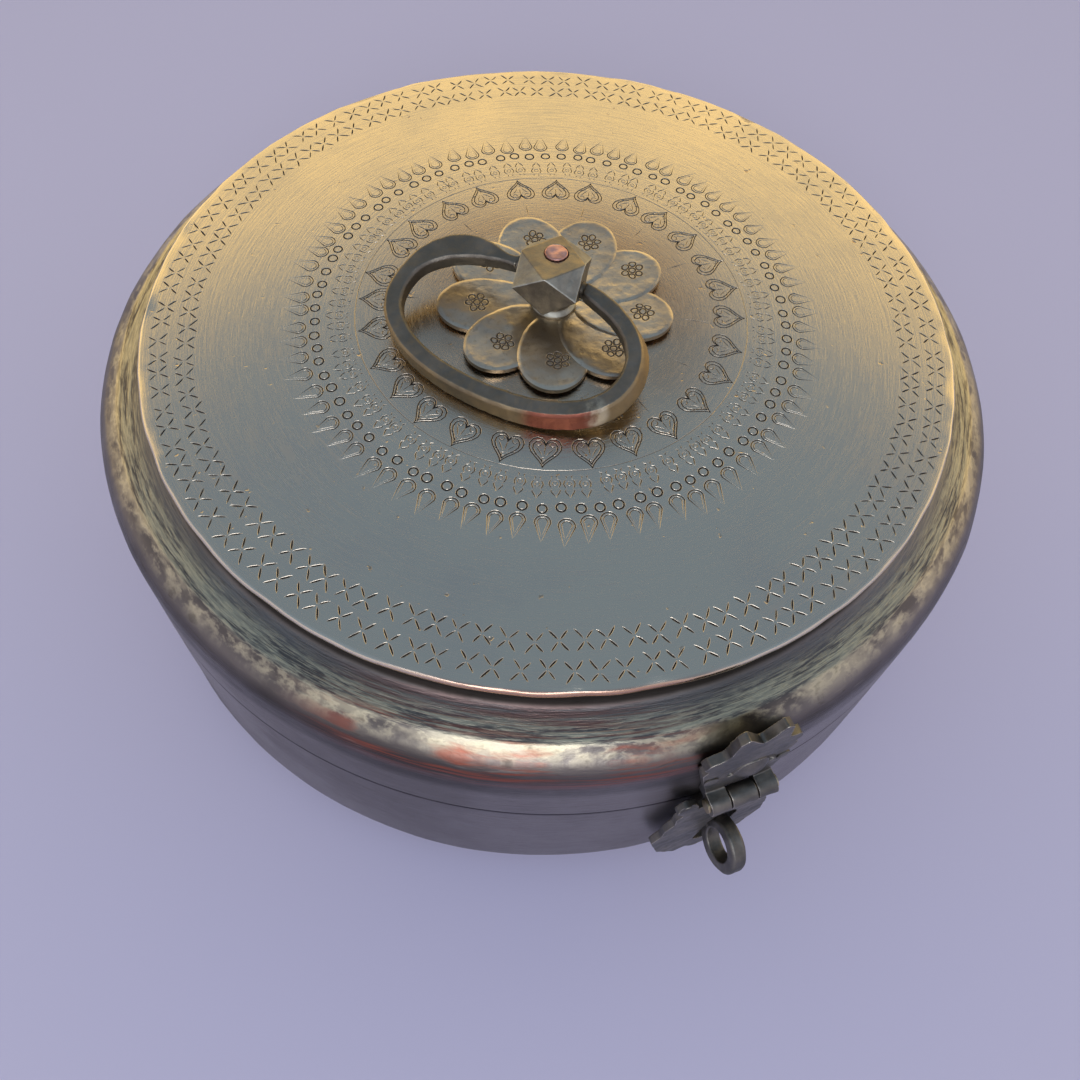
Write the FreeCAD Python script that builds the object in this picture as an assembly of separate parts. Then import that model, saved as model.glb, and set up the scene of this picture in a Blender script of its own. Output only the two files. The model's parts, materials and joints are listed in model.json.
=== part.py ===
import FreeCAD, Part
import math
import os

# Round brass box for flat breads: two shallow halves with a flush seam, a hasp with
# a ring staple in front, a hinge behind, and a lid disc that carries a rosette, a
# faceted post and an oval drop handle.
# Millimetres. The origin is the centre of the underside, +Z is up, the hasp is at
# -Y and the back hinge at +Y.

Vector = FreeCAD.Vector
X_AXIS = Vector(1, 0, 0)
Y_AXIS = Vector(0, 1, 0)
Z_AXIS = Vector(0, 0, 1)
CENTRE = Vector(0, 0, 0)

# Body
rim_radius = 100.0  # top disc of the lid
rim_height = 88.0  # edge of that disc above the table
wall_radius = 113.4  # outside of both walls
seam_height = 51.0
seam_gap = 0.3  # the lid's edge stays clear of the base's edge
sheet = 1.2  # brass sheet of the lid ring and the bowl
disc_sheet = 2.0  # the top disc is heavier
dome_rise = 4.15  # the disc rises this much to its centre
neck_radius = 98.6
ridge_radius = 107.2
foot_radius = 98.2
inner_radius = wall_radius - sheet

# Strip inside the seam
collar_below = 8.0
collar_above = 6.0
collar_sheet = 0.9
collar_clearance = 0.4  # between its upper half and the lid's wall

# Rosette, post and handle
petal_count = 9
petal_turn = 6.5  # degrees from +X to the first petal's middle
petal_half_width = 8.4
petal_half_length = 10.5
petal_centre = 18.6
petal_tip = petal_centre + petal_half_length
petal_cup = 1.0  # the flower's tips are bent up this much
rosette_seat = 9.5  # the flower is pressed onto the disc inside this radius
rosette_shift = Vector(1.1, 1.0, 0)  # it was riveted on a little off the middle
rosette_sheet = 1.2
post_turn = -37.0  # degrees from +X to one of the post's side faces
post_half_width = 7.7
post_shift = Vector(-1.2, -1.0, 0)  # its rivet isn't in the middle of its head
post_top = rim_height + 21.6
post_upper = 4.8  # from the head's top down to its widest level
post_lower = 6.4
handle_height = post_top - 6.4  # the handle's hinge axis
stem_radius = 4.8
stem_foot_radius = 5.6
rivet_radius = 2.8
rivet_slack = 0.05
handle_turn = -49.2  # degrees from +X to the handle's hinge axis
handle_droop = 14.2  # the handle lies this far below level
handle_half_length = 29.9
handle_half_depth = 17.2
handle_offset = 16.5  # the middle of its oval lies this far out from the axis
handle_shift = -1.8  # and this far along it
handle_roundness = 2.2  # 2 is an ellipse, more is squarer
handle_thick_end = 2.6  # one end was left this much broader on its outside
pintle_radius = 1.9
pintle_slack = 0.05

# Hasp and staple
barrel_radius = 2.6
hinge_slack = 0.05  # between a pin and its knuckles
knuckle_gap = 0.2
hasp_axis_reach = 117.8  # from the box's axis to the hasp's pin
hasp_axis_height = rim_height - 31.0
hasp_pin_radius = 1.1
hasp_knuckle_half = 3.2  # half length of the flap's knuckle
hasp_barrel_half = 8.2
cast_plate = 2.4
flap_back = 115.1
flap_plate = 2.0
slot_half_width = 3.7
slot_half_length = 9.4
ring_reach = 121.8  # from the box's axis to the staple ring's centre
ring_height = 28.5
ring_lean = 10.0  # the ring has turned this much on its stem
ring_outer = 7.4
ring_inner = 4.2
ring_width = 4.0
ring_stem_radius = 2.2
staple_washer_sheet = 1.0

# Back hinge
hinge_axis_reach = 117.2
hinge_axis_height = seam_height + seam_gap / 2
hinge_pin_radius = 1.2
hinge_knuckle_half = 4.4
hinge_barrel_half = 13.0
leaf_plate = 1.8

# Rivets through the walls
wall_rivet_radius = 1.2
hasp_rivet_places = [(-8.3, rim_height - 20.0), (8.6, rim_height - 20.0)]
hasp_rivet_head = 1.7
hasp_rivet_proud = 0.45  # filed nearly flush
leaf_rivet_head = 2.3
leaf_rivet_proud = 1.0
lid_leaf_rivet_places = [(-8.5, 60.5), (8.5, 60.5), (0.0, 66.0)]
base_leaf_rivet_places = [(-9.0, 39.5), (9.0, 39.5), (0.0, 32.5)]


# Profiles and outlines

def direction(start, end):
    return Vector(end.x - start.x, 0, end.z - start.z).normalize()


def rounded_edges(points, closed=False):
    """Lines and arcs through (across, height, corner radius) points in the XZ plane."""
    places = [Vector(across, 0, height) for across, height, _ in points]
    count = len(points)
    corners = range(count) if closed else range(1, count - 1)
    entries = {0: places[0], count - 1: places[-1]}
    exits = dict(entries)
    arcs = {}
    for index in corners:
        place = places[index]
        radius = points[index][2]
        back = direction(place, places[index - 1])
        onward = direction(place, places[(index + 1) % count])
        if radius <= 0:
            entries[index] = exits[index] = place
            continue
        half = back.getAngle(onward) / 2
        reach = radius / math.tan(half)
        entries[index] = place + back * reach
        exits[index] = place + onward * reach
        towards_centre = (back + onward).normalize()
        middle = place + towards_centre * (radius / math.sin(half) - radius)
        arcs[index] = Part.Arc(entries[index], middle, exits[index]).toShape()
    edges = []
    for index in range(count if closed else count - 1):
        following = (index + 1) % count
        if (exits[index] - entries[following]).Length > 1e-6:
            edges.append(Part.makeLine(exits[index], entries[following]))
        if following in arcs:
            edges.append(arcs[following])
    return edges


def inset(points, depth):
    """The same path moved to its left by depth, with its corner radii adjusted."""
    places = [Vector(across, 0, height) for across, height, _ in points]
    headings = [direction(a, b) for a, b in zip(places, places[1:])]
    moved = []
    for index, (across, height, radius) in enumerate(points):
        before = headings[max(index - 1, 0)]
        after = headings[min(index, len(headings) - 1)]
        left_before = Vector(-before.z, 0, before.x)
        left_after = Vector(-after.z, 0, after.x)
        shift = (left_before + left_after) * (depth / (1 + left_before.dot(left_after)))
        turn = before.x * after.z - before.z * after.x
        new_radius = max(radius - depth, 0.3) if turn > 0 else radius + depth
        moved.append((across + shift.x, height + shift.z, new_radius if radius else 0))
    return moved


def turned_sheet(points, thickness):
    """Sheet metal spun about Z: its outside follows the points, from the lid's rim down."""
    outside = rounded_edges(points)
    inside_points = inset(points, -thickness)
    inside = rounded_edges(inside_points)
    start = [Vector(p[0], 0, p[1]) for p in (points[0], inside_points[0])]
    end = [Vector(p[0], 0, p[1]) for p in (points[-1], inside_points[-1])]
    closing = [Part.makeLine(*start), Part.makeLine(*end)]
    wire = Part.Wire(Part.__sortEdges__(outside + inside + closing))
    return Part.Face(wire).revolve(CENTRE, Z_AXIS, 360)


def turned(points):
    """Solid of revolution about Z from a closed outline."""
    wire = Part.Wire(Part.__sortEdges__(rounded_edges(points, closed=True)))
    return Part.Face(wire).revolve(CENTRE, Z_AXIS, 360)


def cylinder(radius, start, end):
    """Cylinder between two points."""
    axis = end - start
    return Part.makeCylinder(radius, axis.Length, start, axis)


def tube(outer, inner, low, high):
    """Upright tube round the box's axis."""
    body = cylinder(outer, Vector(0, 0, low), Vector(0, 0, high))
    return body.cut(cylinder(inner, Vector(0, 0, low - 1), Vector(0, 0, high + 1)))


def front_slab(points, near, far):
    """Outline in the XZ plane, made solid from near to far in front of the axis."""
    face = Part.Face(Part.Wire(Part.__sortEdges__(rounded_edges(points, closed=True))))
    face.translate(Vector(0, -far, 0))
    return face.extrude(Vector(0, far - near, 0))


def mirrored_outline(half):
    """Closed outline from its right half, given from the top middle down to the foot."""
    left = [(-across, height, radius) for across, height, radius in reversed(half)]
    return half + [point for point in left if abs(point[0]) > 1e-6]


def to_back(shape):
    """Turn a piece made at the front to the back of the box."""
    shape.rotate(CENTRE, Z_AXIS, 180)
    return shape


# The domed disc and the cupped flower on it

def dome_height(radius):
    return rim_height + dome_rise * (1 - (radius / rim_radius) ** 2)


def flower_height(radius):
    """Upper face of the flower."""
    return dome_height(0) + rosette_sheet + petal_cup * (radius / petal_tip) ** 2


def surface_arc(height_at, inner, outer, lift):
    ends = [Vector(radius, 0, height_at(radius) + lift) for radius in (inner, outer)]
    half_way = (inner + outer) / 2
    middle = Vector(half_way, 0, height_at(half_way) + lift)
    return Part.Arc(ends[0], middle, ends[1]).toShape()


def under(height_at, lift, outer=40.0, low=80.0):
    """Everything below a turned surface raised by lift."""
    top = surface_arc(height_at, 0, outer, lift)
    corners = [top.Vertexes[1].Point, Vector(outer, 0, low), Vector(0, 0, low), top.Vertexes[0].Point]
    sides = [Part.makeLine(a, b) for a, b in zip(corners, corners[1:])]
    return Part.Face(Part.Wire([top] + sides)).revolve(CENTRE, Z_AXIS, 360)


def rivet_hole():
    return cylinder(rivet_radius + rivet_slack, Vector(0, 0, rim_height - 10), Vector(0, 0, post_top + 5))


def make_lid_plate():
    """Domed disc whose edge stands proud of the neck."""
    edge = 0.8
    upper = surface_arc(dome_height, 0, rim_radius - edge, 0)
    lower = surface_arc(dome_height, 0, rim_radius - edge, -disc_sheet)
    top = upper.Vertexes[1].Point
    bottom = lower.Vertexes[1].Point
    bulge = Vector(rim_radius + edge, 0, (top.z + bottom.z) / 2)
    rounding = Part.Arc(top, bulge, bottom).toShape()
    axis = Part.makeLine(lower.Vertexes[0].Point, upper.Vertexes[0].Point)
    wire = Part.Wire(Part.__sortEdges__([upper, rounding, lower, axis]))
    disc = Part.Face(wire).revolve(CENTRE, Z_AXIS, 360)
    return disc.cut(rivet_hole())


# Lid ring and bowl

def flange_point(radius, corner):
    """A point on the disc's underside."""
    return (radius, dome_height(radius) - disc_sheet, corner)


def staple_hole():
    """Clearance for the staple's stem through the front wall."""
    radius = ring_stem_radius + rivet_slack
    return cylinder(radius, Vector(0, -120, ring_height), Vector(0, -100, ring_height))


def make_lid_ring():
    """Flange under the disc, neck, shoulder with its ridge, and the wall down to the seam."""
    outside = [
        flange_point(92.0, 0),
        flange_point(neck_radius, 1.3),
        (neck_radius, rim_height - 7.2, 2.5),
        (ridge_radius, rim_height - 8.6, 3.0),
        (wall_radius, rim_height - 13.5, 8.0),
        (wall_radius, seam_height + seam_gap, 0),
    ]
    ring = turned_sheet(outside, sheet)
    return ring.cut(Part.makeCompound(rivet_holes(hasp_rivet_places) + back_holes(lid_leaf_rivet_places)))


def make_base_bowl():
    """Wall, rounded corner, stepped foot and flat floor."""
    outside = [
        (wall_radius, seam_height, 0),
        (wall_radius, 10.5, 8.0),
        (ridge_radius, 5.8, 3.0),
        (foot_radius + 1.0, 5.0, 2.5),
        (foot_radius, 0, 1.5),
        (0, 0, 0),
    ]
    bowl = turned_sheet(outside, sheet)
    return bowl.cut(Part.makeCompound([staple_hole()] + back_holes(base_leaf_rivet_places)))


def make_collar():
    """Strip soldered inside the base's mouth; its upper half locates the lid."""
    face = inner_radius - collar_sheet - collar_clearance
    low = seam_height - collar_below
    top = seam_height + collar_above
    return turned([
        (face, low, 0),
        (inner_radius, low, 0),
        (inner_radius, seam_height - 0.5, 0),
        (inner_radius - collar_clearance, seam_height + 0.2, 0),
        (inner_radius - collar_clearance, top, 0.4),
        (face, top, 0.4),
    ])


# Rosette, post and their rivet

def petal(angle):
    """Upright oval block whose end is one petal's outline."""
    outline = Part.Wire(Part.Ellipse(CENTRE, petal_half_length, petal_half_width).toShape())
    block = Part.Face(outline).extrude(Z_AXIS * 14)
    block.translate(Vector(petal_centre, 0, rim_height - 2))
    block.rotate(CENTRE, Z_AXIS, angle)
    return block


def make_rosette():
    """Nine oval petals of one cupped sheet, parted by chased lines, on a seat pressed onto the disc."""
    petals = []
    lines = []
    for number in range(petal_count):
        angle = petal_turn + 360.0 / petal_count * number
        petals.append(petal(angle))
        line = Part.makeBox(17.0, 0.5, 10.0, Vector(7.5, -0.25, flower_height(12) - 0.4))
        line.rotate(CENTRE, Z_AXIS, angle + 180.0 / petal_count)
        lines.append(line)
    middle = cylinder(petal_centre - 0.5, Vector(0, 0, rim_height - 2), Vector(0, 0, rim_height + 12))
    flower = middle.fuse(petals)
    flower.translate(rosette_shift)
    lines = Part.makeCompound(lines)
    lines.translate(rosette_shift)
    cupped = under(flower_height, 0).cut(under(flower_height, -rosette_sheet))
    seat = cylinder(rosette_seat, Vector(0, 0, rim_height), Vector(0, 0, flower_height(0) - 0.1))
    body = flower.common(cupped).fuse(seat.cut(under(dome_height, 0)))
    return body.cut([lines, rivet_hole()]).removeSplitter()


def facet(points):
    return Part.Face(Part.makePolygon(points + points[:1]))


def post_head():
    """Block with each corner cut off through the middles of its edges, its widest level at the origin."""

    def edge_middle(signs):
        x, y, z = signs
        return Vector(x * post_half_width, y * post_half_width, z * (post_upper if z > 0 else post_lower))

    facets = []
    for side in (-1, 1):
        for axis in range(3):
            corners = []
            for pair in ((1, 0), (0, 1), (-1, 0), (0, -1)):
                signs = list(pair)
                signs.insert(axis, side)
                corners.append(edge_middle(signs))
            facets.append(facet(corners))
    for x in (-1, 1):
        for y in (-1, 1):
            for z in (-1, 1):
                facets.append(facet([edge_middle((0, y, z)), edge_middle((x, 0, z)), edge_middle((x, y, 0))]))
    return Part.makeSolid(Part.makeShell(facets))


def handle_axis():
    angle = math.radians(handle_turn)
    return Vector(math.cos(angle), math.sin(angle), 0)


def make_knob_post():
    """Faceted head on a short flared stem, bored for the rivet and for the handle's ends."""
    widest = post_top - post_upper
    head = post_head()
    head.rotate(CENTRE, Z_AXIS, post_turn)
    head.translate(post_shift + Z_AXIS * widest)
    foot = dome_height(0) + 0.5
    stem = turned([
        (0, foot, 0),
        (stem_foot_radius, foot, 0),
        (stem_foot_radius, foot + 1.6, 0.4),
        (stem_radius, foot + 2.8, 1.0),
        (stem_radius, widest, 0),
        (0, widest, 0),
    ])
    post = head.fuse(stem).cut(under(flower_height, 0))
    centre = post_shift + Z_AXIS * handle_height
    sockets = []
    for side in (-1, 1):
        inner = centre + handle_axis() * (side * 3.4)
        sockets.append(cylinder(pintle_radius + pintle_slack, inner, centre + handle_axis() * (side * 12)))
    return post.cut(sockets + [rivet_hole()]).removeSplitter()


washer_radius = 7.0
washer_sheet = 1.2
washer_top = dome_height(washer_radius) - disc_sheet


def make_knob_washer():
    body = cylinder(washer_radius, Vector(0, 0, washer_top - washer_sheet), Vector(0, 0, washer_top))
    return body.cut(rivet_hole())


def make_knob_rivet():
    """Copper rivet: a flat hammered end on top, a domed head under the washer."""
    head_top = washer_top - washer_sheet
    return turned([
        (0, head_top - 1.9, 0),
        (2.4, head_top - 1.9, 0),
        (4.5, head_top - 0.5, 0.5),
        (4.5, head_top, 0),
        (rivet_radius, head_top, 0),
        (rivet_radius, post_top + 0.6, 0.5),
        (0, post_top + 0.6, 0),
    ])


# Oval handle

def handle_place(angle):
    """Centre line of the bar, in the handle's own plane: along the hinge axis, then away from it."""
    power = 2 / handle_roundness
    c = math.cos(angle)
    s = math.sin(angle)
    along = handle_shift + handle_half_length * math.copysign(abs(c) ** power, c)
    away = handle_offset + handle_half_depth * math.copysign(abs(s) ** power, s)
    return along, away


def bar_section(along, away, heading, width, extra, flare, depth):
    """Bevelled section square to the bar: extra widens it outwards, flare only on its lower face."""
    across = Vector(-heading.y, heading.x, 0)
    bevel = 0.14 * depth
    inner = width / 2
    outer = -width / 2 - extra
    foot = outer - flare
    low = depth / 2
    corners = [
        (foot + bevel, low), (inner - bevel, low), (inner, low - bevel), (inner, bevel - low),
        (inner - bevel, -low), (outer + bevel, -low), (outer, bevel - low), (foot, low - bevel),
    ]
    centre = Vector(along, away, 0)
    points = [centre + across * u + Z_AXIS * v for u, v in corners]
    return Part.makePolygon(points + points[:1])


def make_ring_handle():
    """Open oval bar, drawn down to a pintle at each end."""
    bar_start = post_half_width + 1.2
    first = math.radians(-65)
    steps = 22
    route = [(bar_start, 0.0)]
    for step in range(steps + 1):
        route.append(handle_place(first + (math.pi - 2 * first) * step / steps))
    route.append((-bar_start, 0.0))
    sections = []
    last = len(route) - 1
    for index, (along, away) in enumerate(route):
        before = route[max(index - 1, 0)]
        after = route[min(index + 1, last)]
        heading = Vector(after[0] - before[0], after[1] - before[1], 0).normalize()
        if index in (0, last):
            heading = X_AXIS
        swell = math.sin(math.pi * index / last) ** 0.35
        extra = 0.0
        if along < 0 and away < handle_offset:
            extra = handle_thick_end * max(0.0, 1 - ((along + 23.0) / 8.5) ** 2)
        flare = (0.9 + 0.8 * along / handle_half_length) * swell
        sections.append(bar_section(along, away, heading, 3.5 + swell, extra, flare, 4.0 + 0.8 * swell))
    bar = Part.makeLoft(sections, True, False)
    pintles = []
    for side in (-1, 1):
        pintles.append(cylinder(pintle_radius, X_AXIS * (side * 3.6), X_AXIS * (side * (bar_start + 0.6))))
    handle = bar.fuse(pintles)
    handle.rotate(CENTRE, X_AXIS, handle_droop + 180)
    handle.rotate(CENTRE, Z_AXIS, handle_turn)
    handle.translate(post_shift + Z_AXIS * handle_height)
    return handle


# Rivets through the walls

def across_to_angle(across):
    """Degrees round the box's axis for a distance to the right of the front."""
    return math.degrees(math.asin(across / wall_radius))


def rivet_holes(places):
    holes = []
    for across, height in places:
        hole = cylinder(wall_rivet_radius + rivet_slack, Vector(0, -125, height), Vector(0, -105, height))
        hole.rotate(CENTRE, Z_AXIS, across_to_angle(across))
        holes.append(hole)
    return holes


def back_holes(places):
    return [to_back(hole) for hole in rivet_holes(places)]


def make_wall_rivets(places, plate, head, proud):
    """Rivets with a domed head on the plate and a hammered one inside the wall."""
    outer = wall_radius + plate
    contact = 0.03
    rivets = []
    for across, height in places:
        rivet = turned([
            (0, inner_radius - 0.8, 0),
            (0.6 * head, inner_radius - 0.8, 0),
            (head, inner_radius - 0.3, 0),
            (head, inner_radius - contact, 0),
            (wall_rivet_radius, inner_radius - contact, 0),
            (wall_rivet_radius, outer + contact, 0),
            (head, outer + contact, 0),
            (head, outer + 0.25, 0),
            (0.6 * head, outer + proud, 0.4),
            (0, outer + proud, 0),
        ])
        rivet.rotate(CENTRE, X_AXIS, 90)
        rivet.translate(Z_AXIS * height)
        rivet.rotate(CENTRE, Z_AXIS, across_to_angle(across))
        rivets.append(rivet)
    return Part.makeCompound(rivets)


def make_hasp_plate_rivets():
    return make_wall_rivets(hasp_rivet_places, cast_plate, hasp_rivet_head, hasp_rivet_proud)


def make_hinge_lid_rivets():
    return to_back(make_wall_rivets(lid_leaf_rivet_places, leaf_plate, leaf_rivet_head, leaf_rivet_proud))


def make_hinge_base_rivets():
    return to_back(make_wall_rivets(base_leaf_rivet_places, leaf_plate, leaf_rivet_head, leaf_rivet_proud))


# Knuckles and pins, which run along X in front of the box

def barrel(radius, reach, height, low, high):
    return cylinder(radius, Vector(low, -reach, height), Vector(high, -reach, height))


def web(reach, height, low, high, up, back):
    """Block that ties a knuckle to its plate, on the side up gives."""
    floor = height if up else height - barrel_radius
    return Part.makeBox(high - low, reach - back, barrel_radius, Vector(low, -reach, floor))


def headed_pin(radius, reach, height, half_length):
    """Pin with both ends hammered over."""
    head = 0.5
    pin = barrel(radius, reach, height, -half_length, half_length)
    ends = [
        barrel(radius + 0.5, reach, height, -half_length - head, -half_length - 0.02),
        barrel(radius + 0.5, reach, height, half_length + 0.02, half_length + head),
    ]
    shank = barrel(radius, reach, height, -half_length - head / 2, half_length + head / 2)
    return pin.fuse(ends + [shank]).removeSplitter()


def crown_outline(foot, height, half_width, knuckle, barrel_half, outer_knuckles):
    """Toothed crown: two tall teeth, a lobe on each side, and columns for its knuckles."""
    top = foot + height
    clear = foot + barrel_radius + 0.6
    half = [
        (0, top - 5.4, 0.8),
        (0.36 * half_width, top, 0.6),
        (0.52 * half_width, top - 1.6, 0.6),
        (0.60 * half_width, top - 8.6, 2.0),
        (0.92 * half_width, top - 10.4, 1.0),
        (half_width, top - 12.8, 0.6),
        (0.88 * half_width, top - 14.4, 0.4),
        (0.97 * half_width, top - 16.4, 0.6),
        (0.82 * half_width, clear + 4.6, 1.2),
    ]
    if outer_knuckles:
        half += [(barrel_half, clear, 0), (barrel_half, foot, 0), (knuckle, foot, 0), (knuckle, clear, 0)]
    else:
        half += [(0.8 * half_width, clear, 0.8), (knuckle, clear, 0), (knuckle, foot, 0)]
    return mirrored_outline(half)


def bent_to_wall(outline, thickness):
    """Cut an outline from plate that is bent to the wall's curve."""
    slab = front_slab(outline, wall_radius - 20, wall_radius + 15)
    return slab.common(tube(wall_radius + thickness, wall_radius, 0, rim_height + 10))


# Hasp

def make_hasp_plate():
    """Cast toothed plate with a boss under a half-round groove, and two outer knuckles."""
    inner = hasp_knuckle_half + knuckle_gap
    outline = crown_outline(hasp_axis_height, 32.2, 11.6, inner, hasp_barrel_half, True)
    plate = bent_to_wall(outline, cast_plate)
    front = wall_radius + cast_plate
    bulge = 1.3
    boss_radius = 3.9
    ball_radius = (boss_radius ** 2 + bulge ** 2) / (2 * bulge)
    centre = Vector(1.2, -front, hasp_axis_height + 10.4)
    ball = Part.makeSphere(ball_radius, centre + Y_AXIS * (ball_radius - bulge))
    boss = ball.common(cylinder(boss_radius, centre - Y_AXIS * 3, centre + Y_AXIS))
    groove = Part.makeTorus(5.1, 0.8, centre + Y_AXIS * 0.1, Y_AXIS)
    upper_half = Part.makeBox(20, 10, 10, centre - Vector(10, 5, 0.5))
    plate = plate.cut(groove.common(upper_half)).fuse(boss)
    for low, high in ((-hasp_barrel_half, -inner), (inner, hasp_barrel_half)):
        knuckle = barrel(barrel_radius, hasp_axis_reach, hasp_axis_height, low, high)
        tie = web(hasp_axis_reach, hasp_axis_height, low, high, True, wall_radius + 0.5)
        plate = plate.fuse([knuckle, tie])
    bore = barrel(hasp_pin_radius + hinge_slack, hasp_axis_reach, hasp_axis_height, -20, 20)
    return plate.cut([bore] + rivet_holes(hasp_rivet_places)).removeSplitter()


def flap_outline():
    """Lobed shield with a knob and scallops up its left side, as it was filed by hand."""
    foot = hasp_axis_height
    right = [
        (8.4, foot - 3.6, 0.8), (9.0, foot - 10.0, 3.0), (12.6, foot - 21.0, 3.0),
        (13.4, foot - 30.0, 3.0), (9.4, foot - 39.6, 2.0), (3.4, foot - 41.8, 3.0), (-2.4, foot - 45.4, 1.5),
    ]
    left = [
        (-5.8, foot - 41.6, 1.0), (-9.6, foot - 41.8, 1.5), (-14.8, foot - 35.0, 3.0),
        (-18.2, foot - 22.5, 1.5), (-16.0, foot - 19.0, 0.6), (-15.8, foot - 15.0, 1.2),
        (-13.8, foot - 12.0, 0.6), (-14.0, foot - 8.0, 1.0), (-12.6, foot - 5.6, 0.5),
        (-15.2, foot - 1.5, 1.6), (-12.6, foot + 1.4, 1.2), (-9.6, foot - 0.6, 1.0), (-9.2, foot - 3.6, 0.4),
    ]
    return right + left


def make_hasp_flap():
    """Cast flap that hangs over the ring; its slot leans as the ring does."""
    plate = front_slab(flap_outline(), flap_back, flap_back + flap_plate)
    half = hasp_knuckle_half
    neck_outline = [
        (-half, hasp_axis_height, 0), (half, hasp_axis_height, 0),
        (half, hasp_axis_height - 5, 0), (-half, hasp_axis_height - 5, 0),
    ]
    neck = front_slab(neck_outline, flap_back, flap_back + flap_plate)
    knuckle = barrel(barrel_radius, hasp_axis_reach, hasp_axis_height, -half, half)
    flap = plate.fuse([neck, knuckle])
    w = slot_half_width
    h = slot_half_length
    slot = front_slab([(w, h, 3.4), (w, -h, 3.4), (-w, -h, 3.4), (-w, h, 3.4)], flap_back - 5, flap_back + 10)
    slot.rotate(CENTRE, Y_AXIS, ring_lean)
    slot.translate(Z_AXIS * (ring_height - 0.1))
    bore = barrel(hasp_pin_radius + hinge_slack, hasp_axis_reach, hasp_axis_height, -20, 20)
    return flap.cut([slot, bore]).removeSplitter()


def make_staple_ring():
    """Heavy ring on a stem; the stem goes through the wall and is hammered over inside."""
    w = ring_width / 2
    ring = turned([
        (ring_inner, -w, 0.5), (ring_outer, -w, 0.9), (ring_outer, w, 0.9), (ring_inner, w, 0.5),
    ])
    ring.rotate(CENTRE, Y_AXIS, 90 + ring_lean)
    ring.translate(Vector(0, -ring_reach, ring_height))
    grip = inner_radius - staple_washer_sheet
    stem = turned([
        (0, grip - 1.4, 0),
        (2.2, grip - 1.4, 0),
        (3.4, grip - 0.5, 0),
        (3.4, grip - 0.02, 0),
        (ring_stem_radius, grip - 0.02, 0),
        (ring_stem_radius, wall_radius + 0.06, 0),
        (3.2, wall_radius + 0.06, 0),
        (3.2, wall_radius + 0.8, 0.3),
        (2.0, ring_reach - ring_inner - 1.0, 0),
        (0, ring_reach - ring_inner - 1.0, 0),
    ])
    stem.rotate(CENTRE, X_AXIS, 90)
    stem.translate(Z_AXIS * ring_height)
    return ring.fuse(stem).removeSplitter()


def make_staple_washer():
    """Washer that lies against the curve inside the base."""
    start = Vector(0, -(inner_radius - staple_washer_sheet), ring_height)
    body = cylinder(5.0, start, Vector(0, -inner_radius, ring_height))
    inside = cylinder(inner_radius, Vector(0, 0, ring_height - 10), Vector(0, 0, ring_height + 10))
    return body.common(inside).cut(staple_hole())


# Back hinge

def make_hinge_lid_leaf():
    outline = crown_outline(hinge_axis_height, 24.0, 13.0, hinge_knuckle_half, 0, False)
    leaf = bent_to_wall(outline, leaf_plate)
    half = hinge_knuckle_half
    knuckle = barrel(barrel_radius, hinge_axis_reach, hinge_axis_height, -half, half)
    tie = web(hinge_axis_reach, hinge_axis_height, -half, half, True, wall_radius + 0.4)
    bore = barrel(hinge_pin_radius + hinge_slack, hinge_axis_reach, hinge_axis_height, -20, 20)
    leaf = leaf.fuse([knuckle, tie]).cut([bore] + rivet_holes(lid_leaf_rivet_places))
    return to_back(leaf.removeSplitter())


def make_hinge_base_leaf():
    inner = hinge_knuckle_half + knuckle_gap
    foot = hinge_axis_height
    clear = foot - barrel_radius - 0.6
    outline = mirrored_outline([
        (inner, clear, 0), (inner, foot - 0.2, 0), (hinge_barrel_half, foot - 0.2, 0),
        (hinge_barrel_half + 0.6, foot - 8.0, 2.0), (hinge_barrel_half, foot - 15.0, 3.0),
        (6.5, foot - 18.5, 2.0), (4.5, foot - 22.0, 1.5), (0, foot - 25.0, 2.0),
    ])
    leaf = bent_to_wall(outline, leaf_plate)
    for low, high in ((-hinge_barrel_half, -inner), (inner, hinge_barrel_half)):
        knuckle = barrel(barrel_radius, hinge_axis_reach, foot, low, high)
        tie = web(hinge_axis_reach, foot, low, high, False, wall_radius + 0.4)
        leaf = leaf.fuse([knuckle, tie])
    bore = barrel(hinge_pin_radius + hinge_slack, hinge_axis_reach, foot, -20, 20)
    return to_back(leaf.cut([bore] + rivet_holes(base_leaf_rivet_places)).removeSplitter())


def make_hinge_pin():
    return to_back(headed_pin(hinge_pin_radius, hinge_axis_reach, hinge_axis_height, hinge_barrel_half))


def make_hasp_pin():
    return headed_pin(hasp_pin_radius, hasp_axis_reach, hasp_axis_height, hasp_barrel_half)


makers = {
    "lid_plate": make_lid_plate,
    "lid_ring": make_lid_ring,
    "base_bowl": make_base_bowl,
    "collar": make_collar,
    "rosette": make_rosette,
    "knob_post": make_knob_post,
    "knob_rivet": make_knob_rivet,
    "knob_washer": make_knob_washer,
    "ring_handle": make_ring_handle,
    "hasp_plate": make_hasp_plate,
    "hasp_flap": make_hasp_flap,
    "hasp_pin": make_hasp_pin,
    "hasp_plate_rivets": make_hasp_plate_rivets,
    "staple_ring": make_staple_ring,
    "staple_washer": make_staple_washer,
    "hinge_lid_leaf": make_hinge_lid_leaf,
    "hinge_base_leaf": make_hinge_base_leaf,
    "hinge_pin": make_hinge_pin,
    "hinge_lid_rivets": make_hinge_lid_rivets,
    "hinge_base_rivets": make_hinge_base_rivets,
}

os.makedirs("parts", exist_ok=True)
for node, make in makers.items():
    shape = make()
    shape.exportStep(f"parts/{node}.step")
    box = shape.BoundBox
    print(f"{node}: {len(shape.Solids)} solid(s), {shape.Volume:.0f} mm3, valid {shape.isValid()}, "
          f"{box.XMin:.1f}..{box.XMax:.1f} {box.YMin:.1f}..{box.YMax:.1f} {box.ZMin:.1f}..{box.ZMax:.1f}")
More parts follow.
